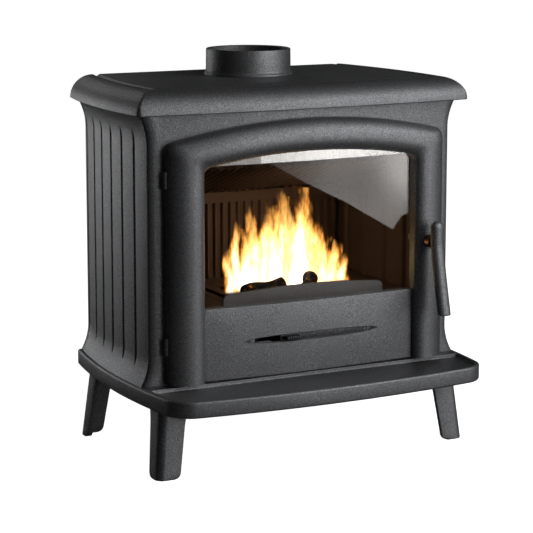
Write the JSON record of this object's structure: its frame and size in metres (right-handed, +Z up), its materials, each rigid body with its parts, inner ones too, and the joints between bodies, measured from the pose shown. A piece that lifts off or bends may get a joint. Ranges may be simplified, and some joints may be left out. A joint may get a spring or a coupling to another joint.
{
  "type": "wood burning stove",
  "caption": "Free-standing cast-iron wood stove with an arched glass door, bowed hearth tray, fluted flared sides, splayed legs and a top flue collar.",
  "frame": {"origin": "on the floor, in the middle of the overall box", "axes": "+Z up, the door faces -Y, +X is the handle side"},
  "size_m": [0.6398, 0.471, 0.6873],
  "materials": {
    "cast_iron": "matt anthracite stove paint on fine sand-cast iron",
    "firebox_iron": "heat-browned bare casting",
    "steel": "dulled plain steel",
    "sheet_steel": "smoke-darkened sheet",
    "gasket_rope": "braided glass-fibre rope",
    "door_glass": "clear ceramic glass, slightly amber"
  },
  "bodies": {
    "stove": {"hearth_tray": "cast_iron", "leg_front_left": "cast_iron", "leg_front_right": "cast_iron", "leg_back_left": "cast_iron", "leg_back_right": "cast_iron", "side_panel_left": "cast_iron", "side_panel_right": "cast_iron", "front_frame": "cast_iron", "back_panel": "cast_iron", "top_plate": "cast_iron", "flue_collar": "cast_iron", "hinge_lug_lower": "cast_iron", "hinge_lug_upper": "cast_iron", "liner_left": "firebox_iron", "liner_right": "firebox_iron", "liner_back": "firebox_iron", "hearth_plate": "firebox_iron", "fire_grate": "firebox_iron", "baffle_plate": "firebox_iron", "baffle_rest_left": "firebox_iron", "baffle_rest_right": "firebox_iron", "leg_bolt_front_left": "steel", "leg_bolt_front_right": "steel", "leg_bolt_back_left": "steel", "leg_bolt_back_right": "steel", "tray_stop": "steel", "collar_clamp_left": "steel", "collar_clamp_right": "steel", "tie_rod_front_left": "steel", "tie_rod_front_right": "steel", "tie_rod_back_left": "steel", "tie_rod_back_right": "steel", "hinge_pin_lower": "steel", "hinge_pin_upper": "steel", "ash_pan_grip": "steel", "hearth_rail_left": "sheet_steel", "hearth_rail_right": "sheet_steel", "ash_shelf": "sheet_steel", "ash_pan": "sheet_steel"},
    "door": {"door_frame": "cast_iron", "door_lower_panel": "cast_iron", "hinge_eye_lower": "cast_iron", "hinge_eye_upper": "cast_iron", "door_glass": "door_glass", "door_gasket": "gasket_rope", "glass_clip_lower_left": "steel", "glass_clip_lower_right": "steel", "glass_clip_upper_left": "steel", "glass_clip_upper_right": "steel"},
    "handle": {"handle_shaft": "steel", "handle_lever": "cast_iron", "latch_cam": "steel", "latch_nut": "steel"},
    "air_slide": {"air_slider": "cast_iron", "air_slider_knob": "steel"},
    "log_guard": {"log_guard": "firebox_iron"}
  },
  "joints": [
    {"name": "door_hinge", "type": "hinge", "parent": "stove", "child": "door", "pos_m": [-0.2629, -0.10566, 0], "axis": [0, 0, -1], "range_deg": [0, 110]},
    {"name": "handle_turn", "type": "hinge", "parent": "door", "child": "handle", "pos_m": [0.2239, -0.1528, 0.3615], "axis": [0, -1, 0], "range_deg": [0, 80]},
    {"name": "air_slide_travel", "type": "slide", "parent": "door", "child": "air_slide", "axis": [1, 0, 0], "range_m": [-0.05, 0.006]},
    {"name": "log_guard_lift", "type": "slide", "parent": "stove", "child": "log_guard", "axis": [0, 0, 1], "range_m": [0, 0.035]}
  ]
}
